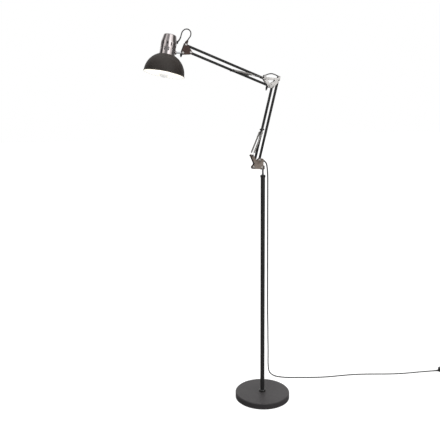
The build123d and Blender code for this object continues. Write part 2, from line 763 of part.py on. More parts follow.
plug_w = 34.0
plug_h = 14.0
plug_l = 36.0
pin_d = 4.0
pin_l = 19.0
pin_pitch = 19.0
tail_start = Vector(switch_at[0], switch_at[1], grip_z) + switch_out * (switch_l + 2 * grip_l)
tail_points = [
    (tail_start.X, tail_start.Y, grip_z), (1022.0, -219.0, floor_z), (1070.0, -226.0, floor_z),
    (1114.0, -218.0, floor_z), (1150.0, -198.0, plug_h / 2),
]
cable("lead_tail", tail_points)
plug_out = level_way(tail_points)
plug_plane = Plane(tail_points[-1], x_dir=(-plug_out.Y, plug_out.X, 0), z_dir=plug_out)
with BuildPart() as plug:
    with BuildSketch(plug_plane):
        Circle(cable_d / 2 + 1.3)
    extrude(amount=10)
    with BuildSketch(plug_plane.offset(9)):
        RectangleRounded(plug_w * 0.55, plug_h * 0.8, 4)
    with BuildSketch(plug_plane.offset(9 + plug_l * 0.6)):
        RectangleRounded(plug_w, plug_h, 6)
    loft()
    with BuildSketch(plug_plane.offset(9 + plug_l * 0.6)):
        RectangleRounded(plug_w, plug_h, 6)
    extrude(amount=plug_l * 0.4)
    with BuildSketch(plug_plane.offset(9 + plug_l)):
        with Locations((-pin_pitch / 2, 0), (pin_pitch / 2, 0)):
            Circle(pin_d / 2)
    extrude(amount=pin_l)
save(plug, "plug")

# the two short loops of lead: from the cap to the head bracket, and over the elbow
stem_tip = stem_at + stem_dir * gland_stem_l


def stem_end(point, angle, along=0.0):
    tip = away(point, angle, stem_l + along)
    return (tip[0], 0, tip[1])


head_loop = [
    stem_tip, stem_tip + stem_dir * 14, (-358.5, 0, 1577.0), (-347.0, 0, 1589.0), (-331.0, 0, 1591.5),
    (-319.5, 0, 1581.0), (-321.0, 0, 1566.0), stem_end(head_outlet, head_stem_angle, 8),
    stem_end(head_outlet, head_stem_angle),
]
elbow_loop = [
    stem_end(elbow_outlets[0], elbow_stem_angles[0]), stem_end(elbow_outlets[0], elbow_stem_angles[0], 9),
    (42.0, 0, 1434.6), stem_end(elbow_outlets[1], elbow_stem_angles[1], 8),
    stem_end(elbow_outlets[1], elbow_stem_angles[1]),
]
cable("head_loop", head_loop, loop_d)
cable("elbow_loop", elbow_loop, loop_d)
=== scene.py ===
from math import atan2, cos, pi, radians, sin

import bmesh
import bpy
from mathutils import Matrix, Vector


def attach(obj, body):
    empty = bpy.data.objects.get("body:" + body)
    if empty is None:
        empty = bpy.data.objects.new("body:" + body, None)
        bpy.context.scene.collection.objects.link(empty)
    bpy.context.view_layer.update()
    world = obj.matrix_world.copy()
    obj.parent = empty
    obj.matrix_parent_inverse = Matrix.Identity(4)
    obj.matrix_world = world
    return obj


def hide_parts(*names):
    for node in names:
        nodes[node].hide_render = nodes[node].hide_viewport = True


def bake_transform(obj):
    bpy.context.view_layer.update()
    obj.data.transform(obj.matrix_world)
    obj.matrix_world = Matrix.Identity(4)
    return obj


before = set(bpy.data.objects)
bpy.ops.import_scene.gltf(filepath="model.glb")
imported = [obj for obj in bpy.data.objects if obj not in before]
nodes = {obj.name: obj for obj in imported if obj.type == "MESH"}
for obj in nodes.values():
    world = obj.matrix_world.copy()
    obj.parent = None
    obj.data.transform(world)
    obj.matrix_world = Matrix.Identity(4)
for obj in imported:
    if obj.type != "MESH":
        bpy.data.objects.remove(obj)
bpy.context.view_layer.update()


# ---- the room ---------------------------------------------------------------------------------
# The lamp stands on a plain white floor in a white room. The viewer stands in front of it, to the
# left, at the height of the elbow. Soft panels of light stand left and right of the viewer.
viewer = Vector((-1.2178, -2.0763, 1.2580))
turn_in = radians(26)
look_down = 0.1797
lean = 0.0113
to_right = Vector((cos(turn_in), -sin(turn_in), 0))
to_front = Vector((-sin(turn_in), -cos(turn_in), 0))
ahead = -to_front * cos(look_down) - Vector((0, 0, sin(look_down)))
above = to_right.cross(ahead)
side = to_right * cos(lean) - above * sin(lean)
above = to_right * sin(lean) + above * cos(lean)
lens = bpy.data.cameras.new("viewer")
lens.sensor_width = 36
lens.lens = 46.27
lens.clip_end = 100
eye = bpy.data.objects.new("viewer", lens)
eye.matrix_world = Matrix.Translation(viewer) @ Matrix((side, above, -ahead)).transposed().to_4x4()
bpy.context.scene.collection.objects.link(eye)
bpy.context.scene.camera = eye
bpy.context.scene.view_settings.view_transform = "Standard"


def put(tree, kind, ins=(), **settings):
    """Adds a shader node; a setting is one of its own options, or a socket's value or what feeds it."""
    node = tree.nodes.new("ShaderNode" + kind)
    feeds = dict(enumerate(ins))
    for key, value in settings.items():
        if hasattr(node, key):
            setattr(node, key, value)
        else:
            feeds[key.replace("_", " ")] = value
    for key, value in feeds.items():
        if isinstance(value, bpy.types.NodeSocket):
            tree.links.new(value, node.inputs[key])
        elif value is not None:
            node.inputs[key].default_value = value
    return node


def maths(tree, operation, first, second=None):
    return put(tree, "Math", [first, second], operation=operation).outputs[0]


def colours(tree, share, first, second):
    """One colour passing into another as share goes from 0 to 1."""
    mix = tree.nodes.new("ShaderNodeMix")
    mix.data_type = "RGBA"
    for socket, value in zip((mix.inputs[0], mix.inputs[6], mix.inputs[7]), (share, first, second)):
        if isinstance(value, bpy.types.NodeSocket):
            tree.links.new(value, socket)
        else:
            socket.default_value = value
    return mix.outputs[2]


def grey(value, warm=0.0):
    return (value * (1 + warm), value, value * (1 - warm), 1)


def spread(tree, value, low, high, to_low=0.0, to_high=1.0):
    """Stretches the part of a value between low and high, and cuts off the rest."""
    stretch = put(tree, "MapRange", Value=value, From_Min=low, From_Max=high, To_Min=to_low, To_Max=to_high)
    return stretch.outputs[0]


room = bpy.data.worlds.new("room")
bpy.context.scene.world = room
room.use_nodes = True
tree = room.node_tree
heading = put(tree, "TexCoord").outputs["Generated"]
across = put(tree, "VectorMath", [heading, to_right], operation="DOT_PRODUCT").outputs["Value"]
towards = put(tree, "VectorMath", [heading, to_front], operation="DOT_PRODUCT").outputs["Value"]
bearing = maths(tree, "ARCTAN2", across, towards)
panels = put(tree, "ValToRGB", [spread(tree, bearing, -pi, pi)])
wall, unlit, gloom = grey(0.8), grey(0.07), grey(0.13)
panel, bright = grey(1.15, 0.02), grey(2.0)
bands = (
    (-180, wall), (-132, wall), (-112, unlit), (-74, unlit), (-64, panel), (-44, panel), (-32, grey(0.3)),
    (4, grey(0.26)), (14, bright), (40, bright), (46, panel), (64, panel), (76, gloom), (118, gloom),
    (136, wall), (180, wall),
)
while len(panels.color_ramp.elements) < len(bands):
    panels.color_ramp.elements.new(1)
for mark, (degrees, colour) in zip(panels.color_ramp.elements, bands):
    mark.position = (degrees + 180) / 360
    mark.color = colour
height = put(tree, "SeparateXYZ", [heading]).outputs["Z"]
lit = colours(tree, spread(tree, height, 0.55, 0.9), panels.outputs[0], grey(0.7))
seen = put(tree, "LightPath").outputs["Is Camera Ray"]
backdrop = put(tree, "Background", [colours(tree, seen, lit, grey(1.0)), 1.0])
tree.links.new(backdrop.outputs[0], tree.nodes["World Output"].inputs[0])


def soft_box(name, place, aim, size, power):
    """A square panel of white light that faces a point."""
    lamp = bpy.data.lights.new(name, "AREA")
    lamp.size = size
    lamp.energy = power
    stand = bpy.data.objects.new(name, lamp)
    stand.location = place
    stand.rotation_euler = (Vector(aim) - Vector(place)).to_track_quat("-Z", "Y").to_euler()
    stand.visible_camera = False
    stand.visible_glossy = False
    bpy.context.scene.collection.objects.link(stand)


soft_box("light_over", (-0.5, -0.6, 3.2), (0, 0, 0.8), 1.8, 38)
soft_box("light_right", (2.0, -2.2, 1.6), (0, 0, 0.9), 1.3, 30)

floor_shape = bpy.data.meshes.new("floor")
reach = 30.0
floor_corners = [(-reach, -reach, 0), (reach, -reach, 0), (reach, reach, 0), (-reach, reach, 0)]
floor_shape.from_pydata(floor_corners, [], [(0, 1, 2, 3)])
floor = bpy.data.objects.new("floor", floor_shape)
bpy.context.scene.collection.objects.link(floor)
white_floor = bpy.data.materials.new("white_floor")
white_floor.use_nodes = True
tree = white_floor.node_tree
pale = tree.nodes["Principled BSDF"]
pale.inputs["Roughness"].default_value = 0.9
pale.inputs["Specular IOR Level"].default_value = 0.1
seen = put(tree, "LightPath").outputs["Is Camera Ray"]
mottle = put(tree, "TexNoise", Scale=3.0, Detail=3.0).outputs["Fac"]
ground = colours(tree, mottle, grey(0.24), grey(0.27))
tree.links.new(colours(tree, seen, ground, grey(0.40)), pale.inputs["Base Color"])
tree.links.new(colours(tree, seen, grey(0.0), grey(1.0)), pale.inputs["Emission Color"])
pale.inputs["Emission Strength"].default_value = 0.84
floor_shape.materials.append(white_floor)


# ---- the mains lead ---------------------------------------------------------------------------
# Round black flexible cord, 5.6 mm thick, with a PVC jacket. It leaves a moulded guide at the foot
# of the arm, hangs beside the pole, and lies along the floor to a hand switch and a moulded plug.
def new_group(name, inputs, outputs):
    """A shader node group; inputs maps a socket's name to its value, outputs lists names and kinds."""
    group = bpy.data.node_groups.new(name, "ShaderNodeTree")
    for label, value in inputs.items():
        kind = "NodeSocketVector" if isinstance(value, tuple) else "NodeSocketFloat"
        group.interface.new_socket(label, in_out="INPUT", socket_type=kind).default_value = value
    for label, kind in outputs.items():
        group.interface.new_socket(label, in_out="OUTPUT", socket_type="NodeSocket" + kind)
    return group, group.nodes.new("NodeGroupInput"), group.nodes.new("NodeGroupOutput")


def place_group(tree, group, **values):
    node = tree.nodes.new("ShaderNodeGroup")
    node.node_tree = group
    for key, value in values.items():
        socket = node.inputs[key.replace("_", " ")]
        if isinstance(value, bpy.types.NodeSocket):
            tree.links.new(value, socket)
        else:
            socket.default_value = value
    return node.outputs


# the skin of a moulded or sprayed part: fine pits, slow drifts of tone, and faint handling marks
skin_detail, given, put_out = new_group(
    "skin_detail", {"Grain": 900.0, "Drift": 9.0}, {"Height": "Float", "Tone": "Float", "Marks": "Float"})
spot = put(skin_detail, "TexCoord").outputs["Object"]
fine = put(skin_detail, "TexNoise", Vector=spot, Scale=given.outputs["Grain"], Detail=4.0, Roughness=0.65)
fine = fine.outputs["Fac"]
pits = put(skin_detail, "TexVoronoi", Vector=spot, Scale=given.outputs["Grain"]).outputs["Distance"]
slow = put(skin_detail, "TexNoise", Vector=spot, Scale=given.outputs["Drift"], Detail=3.0).outputs["Fac"]
rubs = put(skin_detail, "TexNoise", Vector=spot, Scale=70.0, Detail=6.0, Roughness=0.7, Distortion=1.6)
rubs = rubs.outputs["Fac"]
fine_share = maths(skin_detail, "MULTIPLY", fine, 0.7)
pit_share = maths(skin_detail, "MULTIPLY", pits, 0.3)
skin_outputs = (
    ("Height", maths(skin_detail, "ADD", fine_share, pit_share)),
    ("Tone", spread(skin_detail, slow, 0.3, 0.7)),
    ("Marks", spread(skin_detail, rubs, 0.35, 0.75)),
)
for label, value in skin_outputs:
    skin_detail.links.new(value, put_out.inputs[label])

# rounds the corners of a part in its shading, and marks them where a finish rubs thin
soft_edges, given, put_out = new_group("soft_edges", {"Radius": 0.0004}, {"Normal": "Vector", "Edge": "Float"})
rounded = put(soft_edges, "Bevel", samples=6, Radius=given.outputs["Radius"]).outputs[0]
flat = put(soft_edges, "NewGeometry").outputs["Normal"]
match = put(soft_edges, "VectorMath", [rounded, flat], operation="DOT_PRODUCT").outputs["Value"]
soft_edges.links.new(rounded, put_out.inputs["Normal"])
soft_edges.links.new(spread(soft_edges, match, 0.995, 0.9), put_out.inputs["Edge"])

# a thin fall of dust on whatever faces up
settled_dust, given, put_out = new_group("settled_dust", {"Amount": 0.2}, {"Dust": "Float"})
facing = put(settled_dust, "SeparateXYZ", [put(settled_dust, "NewGeometry").outputs["Normal"]]).outputs["Z"]
spot = put(settled_dust, "TexCoord").outputs["Object"]
flecks = put(settled_dust, "TexNoise", Vector=spot, Scale=420.0, Detail=5.0, Roughness=0.8).outputs["Fac"]
upward = spread(settled_dust, facing, 0.5, 1.0)
fall = maths(settled_dust, "MULTIPLY", upward, spread(settled_dust, flecks, 0.42, 0.75))
settled_dust.links.new(maths(settled_dust, "MULTIPLY", fall, given.outputs["Amount"]), put_out.inputs["Dust"])


def new_finish(name):
    finish = bpy.data.materials.new(name)
    finish.use_nodes = True
    return finish, finish.node_tree, finish.node_tree.nodes["Principled BSDF"]


def skinned(
    name, dark, light, roughness, grain=900.0, depth=0.00003, dust=0.15, edge_tone=0.0, edge=0.0004, **sockets
):
    """A sprayed or moulded skin: dark passes into light in slow drifts, with dust on top and paler corners."""
    finish, tree, shader = new_finish(name)
    detail = place_group(tree, skin_detail, Grain=grain)
    edges = place_group(tree, soft_edges, Radius=edge)
    fallen = place_group(tree, settled_dust, Amount=dust)["Dust"]
    base = colours(tree, detail["Tone"], dark, light)
    base = colours(tree, maths(tree, "MULTIPLY", edges["Edge"], edge_tone), base, grey(0.3))
    tree.links.new(colours(tree, fallen, base, grey(0.32, 0.04)), shader.inputs["Base Color"])
    dulled = maths(tree, "ADD", spread(tree, detail["Marks"], 0, 1, roughness - 0.05, roughness + 0.07), fallen)
    tree.links.new(dulled, shader.inputs["Roughness"])
    bump = put(tree, "Bump", Strength=0.6, Distance=depth, Height=detail["Height"], Normal=edges["Normal"])
    tree.links.new(bump.outputs[0], shader.inputs["Normal"])
    for key, value in sockets.items():
        shader.inputs[key.replace("_", " ")].default_value = value
    return finish


def dress(finish, *names):
    """Puts a finish on carried parts."""
    for name in names:
        for slot in nodes[name].material_slots:
            slot.material = finish


def piece(name, body, finish, crease=35):
    """Makes an object of a finished bmesh, smooth but for its real corners."""
    bmesh.ops.recalc_face_normals(body, faces=body.faces)
    shape = bpy.data.meshes.new(name)
    body.to_mesh(shape)
    body.free()
    shape.polygons.foreach_set("use_smooth", [True] * len(shape.polygons))
    shape.set_sharp_from_angle(angle=radians(crease))
    shape.materials.append(finish)
    made = bpy.data.objects.new(name, shape)
    bpy.context.scene.collection.objects.link(made)
    return made


def laid_line(points):
    """The smooth line that a cord takes from its route's points."""
    line = bpy.data.curves.new("line", "CURVE")
    line.dimensions = "3D"
    run = line.splines.new("NURBS")
    run.points.add(len(points) - 1)
    for spot, point in zip(run.points, points):
        spot.co = (*point, 1)
    run.order_u = 3
    run.use_endpoint_u = True
    run.resolution_u = 10
    holder = bpy.data.objects.new("line", line)
    drawn = bpy.data.meshes.new_from_object(holder)
    way = [vertex.co.copy() for vertex in drawn.vertices]
    bpy.data.objects.remove(holder)
    return way


def sweep(body, way, radius, sides=14):
    """Skins a round bar along a line; radius is one value, or one for each point."""
    radii = radius if isinstance(radius, list) else [radius] * len(way)
    aside = (way[1] - way[0]).orthogonal().normalized()
    loops = []
    for index, spot in enumerate(way):
        run = (way[min(index + 1, len(way) - 1)] - way[max(index - 1, 0)]).normalized()
        aside = (aside - run * aside.dot(run)).normalized()
        up = run.cross(aside)
        turns = [2 * pi * k / sides for k in range(sides)]
        loops.append([body.verts.new(spot + radii[index] * (aside * cos(t) + up * sin(t))) for t in turns])
    for low, high in zip(loops, loops[1:]):
        for k in range(sides):
            body.faces.new((low[k - 1], low[k], high[k], high[k - 1]))
    body.faces.new(loops[0][::-1])
    body.faces.new(loops[-1])


def strain_relief(name, way, thick, thin, length, finish, body_name, rings=5):
    """A ribbed rubber sleeve that narrows along the first part of a cord."""
    steps = rings * 4
    line, radii, walked, index = [], [], 0.0, 0
    for step in range(steps + 1):
        want = length * step / steps
        while index < len(way) - 2 and walked + (way[index + 1] - way[index]).length < want:
            walked += (way[index + 1] - way[index]).length
            index += 1
        run = way[index + 1] - way[index]
        line.append(way[index] + run.normalized() * (want - walked))
        share = step / steps
        groove = 0.00035 if step % 4 in (2, 3) and 0 < step < steps - 2 else 0.0
        radii.append(thick + (thin - thick) * share - groove)
    body = bmesh.new()
    sweep(body, line, radii, 20)
    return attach(piece(name, body, finish), body_name)


lead_width = 0.0056
cord_jacket = skinned("cord_jacket", grey(0.016), grey(0.024), 0.42, 1400.0, 0.00002, 0.1, edge=0.0001)
relief_rubber = skinned("relief_rubber", grey(0.012), grey(0.018), 0.5, 1600.0, 0.00002, 0.1)

lead_top_points = [
    (0.00074, 0, 1.07695), (0.01619, 0, 1.06873), (0.022, 0.0005, 1.046), (0.02495, 0.00098, 1.005),
    (0.025, 0.001, 0.985),
]
lead_points = [
    (0.025, 0.001, 0.985), (0.0265, 0.0015, 0.436), (0.034, 0.012, 0.368), (0.048, 0.033, 0.306),
    (0.065, 0.061, 0.250), (0.083, 0.089, 0.194), (0.099, 0.115, 0.138), (0.113, 0.139, 0.084),
    (0.124, 0.153, 0.042), (0.136, 0.157, 0.017), (0.156, 0.145, 0.0028), (0.184, 0.117, 0.0028),
    (0.214, 0.097, 0.0028), (0.252, 0.079, 0.0028), (0.310, 0.048, 0.0028), (0.372, 0.022, 0.0028),
    (0.436, 0.004, 0.0028), (0.500, -0.015, 0.0028), (0.563, -0.041, 0.0028), (0.623, -0.072, 0.0028),
    (0.683, -0.102, 0.0028), (0.750, -0.127, 0.0028), (0.826, -0.148, 0.0028), (0.902, -0.176, 0.0039),
]
tail_points = [
    (0.97331, -0.20227, 0.0039), (1.022, -0.219, 0.0028), (1.070, -0.226, 0.0028), (1.114, -0.218, 0.0028),
    (1.150, -0.198, 0.007),
]

lead_top_way = laid_line(lead_top_points)
body = bmesh.new()
sweep(body, lead_top_way, lead_width / 2)
lead_top = piece("mains_lead_top", body, cord_jacket)
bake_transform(lead_top)
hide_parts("lead_top")
guide_relief = strain_relief(
    "mains_lead_relief", lead_top_way, 0.0034, 0.0027, 0.020, relief_rubber, "foot_bracket")

lead_way = laid_line(lead_points)
body = bmesh.new()
sweep(body, lead_way, lead_width / 2)
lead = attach(piece("mains_lead", body, cord_jacket), "stand")
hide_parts("lead_main")
switch_relief = strain_relief("switch_relief_in", lead_way[::-1], 0.0034, 0.0027, 0.024, relief_rubber, "stand")

tail_way = laid_line(tail_points)
body = bmesh.new()
sweep(body, tail_way, lead_width / 2)
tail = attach(piece("mains_lead_tail", body, cord_jacket), "stand")
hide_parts("lead_tail")
tail_relief = strain_relief("switch_relief_out", tail_way, 0.0034, 0.0027, 0.024, relief_rubber, "stand")
plug_relief = strain_relief("plug_relief", tail_way[::-1], 0.0046, 0.0028, 0.030, relief_rubber, "stand", 7)


# ---- the hand switch and the plug -------------------------------------------------------------
# A black moulded in-line switch with a rocker, and a flat two-pin plug moulded on the lead's end.
# Both are hard thermoplastic with a fine spark-eroded texture; the pins are plated brass.
hard_plastic = skinned("hard_plastic", grey(0.018), grey(0.026), 0.38, 1500.0, 0.00004, 0.12, edge_tone=0.1)
rocker_plastic = skinned("rocker_plastic", grey(0.024), grey(0.030), 0.24, 700.0, 0.00001, 0.05, edge_tone=0.1)
dress(hard_plastic, "switch_body")
dress(rocker_plastic, "switch_rocker")

plug_finish = skinned("plug_plastic", grey(0.018), grey(0.026), 0.4, 1500.0, 0.00004, 0.12)
tree = plug_finish.node_tree
shader = tree.nodes["Principled BSDF"]
plug_root = Vector(tail_points[-1])
plug_way = Vector((plug_root.x - tail_points[-2][0], plug_root.y - tail_points[-2][1], 0)).normalized()
plug_length = 0.045
place = put(tree, "TexCoord").outputs["Object"]
along = put(tree, "VectorMath", [place, plug_way], operation="DOT_PRODUCT").outputs["Value"]
face = plug_root.dot(plug_way) + plug_length
on_pin = maths(tree, "GREATER_THAN", along, face + 0.0001)
plastic_colour = shader.inputs["Base Color"].links[0].from_socket
tree.links.new(colours(tree, on_pin, plastic_colour, (0.62, 0.58, 0.5, 1)), shader.inputs["Base Color"])
tree.links.new(on_pin, shader.inputs["Metallic"])
dress(plug_finish, "plug")


# ---- the base ---------------------------------------------------------------------------------
# A pressed steel cover, powder coated satin black with a fine orange-peel grain, over a cast iron
# weight. A rubber pad closes it from below and keeps it from sliding.
base_powder = skinned(
    "base_powder", (0.026, 0.023, 0.025, 1), (0.033, 0.030, 0.032, 1), 0.44, 520.0, 0.00009, 0.22,
    edge_tone=0.2, edge=0.0008)
cast_iron = skinned("cast_iron", grey(0.05), grey(0.09), 0.75, 240.0, 0.0003, 0.1)
pad_rubber = skinned("pad_rubber", grey(0.02), grey(0.03), 0.8, 800.0, 0.00008, 0.0)
dress(base_powder, "base_cover")
dress(cast_iron, "base_weight")
dress(pad_rubber, "base_pad")


# ---- the pole ---------------------------------------------------------------------------------
# Two lengths of steel tube, 19 mm across, pushed over a coupler and sprayed satin black. A gloss
# black collar covers the foot; a turned collar with a grub screw closes the top round a nylon bush.
satin_black = skinned("satin_black", grey(0.012), grey(0.016), 0.31, 1500.0, 0.00001, 0.03, edge_tone=0.15)
gloss_black = skinned(
    "gloss_black", grey(0.010), grey(0.013), 0.10, 300.0, 0.00001, 0.1, edge_tone=0.1, Coat_Weight=0.6)
inner_nylon = skinned("inner_nylon", grey(0.03), grey(0.04), 0.5, 900.0, 0.00003, 0.0)
black_oxide = skinned(
    "black_oxide", grey(0.006), grey(0.012), 0.32, 900.0, 0.00003, 0.0, edge_tone=0.3, Metallic=0.4)
dress(satin_black, "pole_lower", "pole_upper", "top_collar")
dress(gloss_black, "foot_collar")
dress(inner_nylon, "pole_coupler", "pole_bush")
dress(black_oxide, "set_screw")


# ---- the foot bracket -------------------------------------------------------------------------
# Two stamped steel plates, pewter plated and lacquered, bolted either side of a block that turns
# on a pin in the pole. Black grooved studs hold the springs; the lead leaves a black nylon guide.
drawn_lines, given, put_out = new_group(
    "drawn_lines", {"Stretch": (120.0, 2600.0, 2600.0), "Drift": 30.0},
    {"Height": "Float", "Tone": "Float", "Stain": "Float"})
spot = put(drawn_lines, "TexCoord").outputs["Object"]
pulled = put(drawn_lines, "VectorMath", [spot, given.outputs["Stretch"]], operation="MULTIPLY").outputs[0]
lines = put(drawn_lines, "TexNoise", Vector=pulled, Scale=1.0, Detail=5.0, Roughness=0.7).outputs["Fac"]
cloud = put(drawn_lines, "TexNoise", Vector=spot, Scale=given.outputs["Drift"], Detail=3.0, Distortion=0.6)
cloud = cloud.outputs["Fac"]
stain = put(drawn_lines, "TexNoise", Vector=spot, Scale=150.0, Detail=6.0, Roughness=0.75).outputs["Fac"]
metal_outputs = (
    ("Height", lines),
    ("Tone", spread(drawn_lines, cloud, 0.3, 0.7)),
    ("Stain", spread(drawn_lines, stain, 0.5, 0.75)),
)
for label, value in metal_outputs:
    drawn_lines.links.new(value, put_out.inputs[label])


def plated(
    name, dark, light, roughness, stretch=(120.0, 2600.0, 2600.0), depth=0.00002, stained=0.3,
    edge_tone=0.5, edge=0.0004, **sockets
):
    """A plated metal: drawn lines in its polish, slow clouds between two tones, stains, and bright corners."""
    finish, tree, shader = new_finish(name)
    metal = place_group(tree, drawn_lines, Stretch=stretch)
    edges = place_group(tree, soft_edges, Radius=edge)
    base = colours(tree, metal["Tone"], dark, light)
    stain_colour = tuple(0.45 * c for c in dark[:3]) + (1,)
    base = colours(tree, maths(tree, "MULTIPLY", metal["Stain"], stained), base, stain_colour)
    bright = tuple(min(1.0, 1.5 * c) for c in light[:3]) + (1,)
    shown = colours(tree, maths(tree, "MULTIPLY", edges["Edge"], edge_tone), base, bright)
    tree.links.new(shown, shader.inputs["Base Color"])
    worn = spread(tree, metal["Stain"], 0, 1, roughness, roughness + 0.16)
    tree.links.new(worn, shader.inputs["Roughness"])
    bump = put(tree, "Bump", Strength=0.5, Distance=depth, Height=metal["Height"], Normal=edges["Normal"])
    tree.links.new(bump.outputs[0], shader.inputs["Normal"])
    shader.inputs["Metallic"].default_value = 1.0
    for key, value in sockets.items():
        shader.inputs[key.replace("_", " ")].default_value = value
    return finish


foot_pewter = plated("foot_pewter", (0.22, 0.18, 0.155, 1), (0.44, 0.375, 0.33, 1), 0.34)
block_pewter = plated("block_pewter", (0.07, 0.056, 0.048, 1), (0.11, 0.09, 0.08, 1), 0.40)
pin_steel = plated("pin_steel", (0.22, 0.22, 0.23, 1), (0.34, 0.34, 0.35, 1), 0.25, (2600.0, 2600.0, 90.0))
screw_nickel = plated(
    "screw_nickel", (0.50, 0.49, 0.475, 1), (0.66, 0.65, 0.635, 1), 0.24, (900.0, 900.0, 900.0),
    stained=0.15, edge=0.00015)
guide_nylon = skinned("guide_nylon", grey(0.010), grey(0.016), 0.4, 1400.0, 0.00002, 0.05)
dress(foot_pewter, "foot_plate_near", "foot_plate_far")
dress(block_pewter, "foot_block")
dress(pin_steel, "swivel_pin")
dress(guide_nylon, "lead_guide")
dress(black_oxide, "foot_spring_studs")


def turned(body, place, axis, rings, sides=28):
    """Adds a part turned on a lathe: rings of (radius, height along the axis), with 6 added for a hexagon."""
    spin = Vector(axis).to_track_quat("Z", "Y").to_matrix()
    loops = []
    for radius, height, *corners in rings:
        loop = []
        for step in range(sides):
            turn = 2 * pi * step / sides
            sector = 2 * pi / corners[0] if corners else 0
            reach = radius * cos(sector / 2) / cos(turn % sector - sector / 2) if corners else radius
            corner = Vector((reach * cos(turn), reach * sin(turn), height))
            loop.append(body.verts.new(Vector(place) + spin @ corner))
        loops.append(loop)
    for low, high in zip(loops, loops[1:]):
        for k in range(sides):
            body.faces.new((low[k - 1], low[k], high[k], high[k - 1]))
    body.faces.new(loops[0][::-1])
    body.faces.new(loops[-1])


plate_out = 0.00685
near, far = (0, -1, 0), (0, 1, 0)
foot_front, foot_rear, block_hole = (-0.047, 1.050), (-0.018, 1.0785), (-0.007, 1.0465)


def screw_head(body, x, z, size):
    """A washer and a domed screw head with a hexagon socket, on the near plate."""
    turned(body, (x, -plate_out, z), near, [
        (size + 0.0004, 0.0), (size + 0.0004, 0.0005), (size - 0.0002, 0.0006), (size - 0.0002, 0.0013),
        (size - 0.0005, 0.0018), (size - 0.0012, 0.0022), (size - 0.0020, 0.0024), (0.0017, 0.0024, 6),
        (0.0016, 0.0012, 6), (0.0002, 0.0011),
    ], 36)


def screws(name, points, size, body_name, node):
    """Shouldered pivot screws right through two plates, each with a domed head near and a hexagon nut far."""
    body = bmesh.new()
    for x, z in points:
        screw_head(body, x, z, size)
        turned(body, (x, -plate_out, z), far, [(0.0025, 0.0), (0.0025, 2 * plate_out + 0.0005)])
        turned(body, (x, plate_out, z), far, [
            (size, 0.0, 6), (size, 0.0018, 6), (size - 0.0005, 0.0023), (0.0026, 0.0024), (0.0022, 0.0026),
        ], 36)
    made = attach(piece(name, body, screw_nickel, 30), body_name)
    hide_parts(node)


screws("foot_screws", (foot_front, foot_rear, block_hole), 0.0046, "foot_bracket", "foot_bolts")


# ---- the lower arm ----------------------------------------------------------------------------
# Two square steel tubes side by side, 8.5 mm across, sprayed satin black, with moulded end plugs.
# A pair of close-wound springs of bright zinc wire pulls the front tube up from the bracket's ear.
bar_black = skinned(
    "bar_black", grey(0.009), grey(0.012), 0.36, 1500.0, 0.00001, 0.02,
    edge_tone=0.1, edge=0.0002, Specular_IOR_Level=0.3)
plug_nylon = skinned("plug_nylon", grey(0.010), grey(0.014), 0.45, 1200.0, 0.00003, 0.05)
dress(bar_black, "lower_front_bar", "lower_rear_bar")
dress(plug_nylon, "lower_front_plugs", "lower_rear_plugs")
dress(black_oxide, "lower_spring_stud")
spring_zinc = plated(
    "spring_zinc", (0.54, 0.52, 0.50, 1), (0.68, 0.66, 0.64, 1), 0.48, (300.0, 300.0, 300.0),
    stained=0.2, edge=0.0001)

wire = 0.0008
spring_out = 0.0114


def spring_line(pin, stud, coil_start, coil_length, pitch=0.00166, coil_out=0.00375):
    """A tension spring's wire: an eye round the pin, a run, the coil, a run and an eye round the stud."""
    axis = (stud - pin).normalized()
    over = axis.cross(Vector((0, 1, 0)))
    reach = (stud - pin).length
    eye = 0.0033
    bow = coil_out - wire
    line = [pin + eye * (axis * cos(radians(a)) + over * sin(radians(a))) for a in range(-300, -29, 15)]
    line.append(pin + axis * eye * 1.45 + over * -0.0002)
    line.append(pin + axis * (coil_start - 0.0016))
    turns = int(coil_length / pitch)
    per_turn = 14
    total = turns * per_turn
    for step in range(total + 1):
        turn = 2 * pi * step / per_turn
        swell = min(1.0, step / (per_turn * 0.75), (total - step) / (per_turn * 0.75))
        line.append(pin + axis * (coil_start + coil_length * step / total)
                    + bow * swell * (over * cos(turn) + Vector((0, 1, 0)) * sin(turn)))
    line.append(pin + axis * (reach - eye * 1.45) + over * 0.0002)
    line += [stud - eye * (axis * cos(radians(a)) + over * sin(radians(a))) for a in range(-30, -301, -15)][:19]
    return line


def springs(name, pin, stud, coil_start, coil_length, node):
    for label, hand in (("near", -1), ("far", 1)):
        body = bmesh.new()
        start, end = Vector((pin[0], hand * spring_out, pin[1])), Vector((stud[0], hand * spring_out, stud[1]))
        sweep(body, spring_line(start, end, coil_start, coil_length), wire, 8)
        made = piece(f"{name}_{label}", body, spring_zinc, 50)
        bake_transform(made)
        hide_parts(f"{node}_{label}")


low_stud = (-0.004732, 1.205570)
springs("lift_spring", (-0.055, 1.099), low_stud, 0.012, 0.096, "lower_spring")


# ---- the elbow --------------------------------------------------------------------------------
# Two stamped plates with a three-cornered window, bright nickel plated, join four tubes on pivot
# screws. A rivet spaces them; a knob with one flat wing clamps one pivot. The lead shows in a short arc.
elbow_nickel = plated(
    "elbow_nickel", (0.60, 0.592, 0.58, 1), (0.84, 0.83, 0.815, 1), 0.32, (2600.0, 2600.0, 110.0))
elbow_top, elbow_back = (0.00683, 1.4130), (0.07193, 1.4095)
elbow_front, elbow_clamp = (0.04293, 1.3810), (0.02633, 1.3850)
dress(elbow_nickel, "elbow_plate_near", "elbow_plate_far")
dress(pin_steel, "elbow_rivet")
dress(black_oxide, "elbow_spring_studs")
dress(guide_nylon, "elbow_outlets")
screws("elbow_screws", (elbow_top, elbow_back, elbow_front), 0.0042, "elbow", "elbow_bolts")


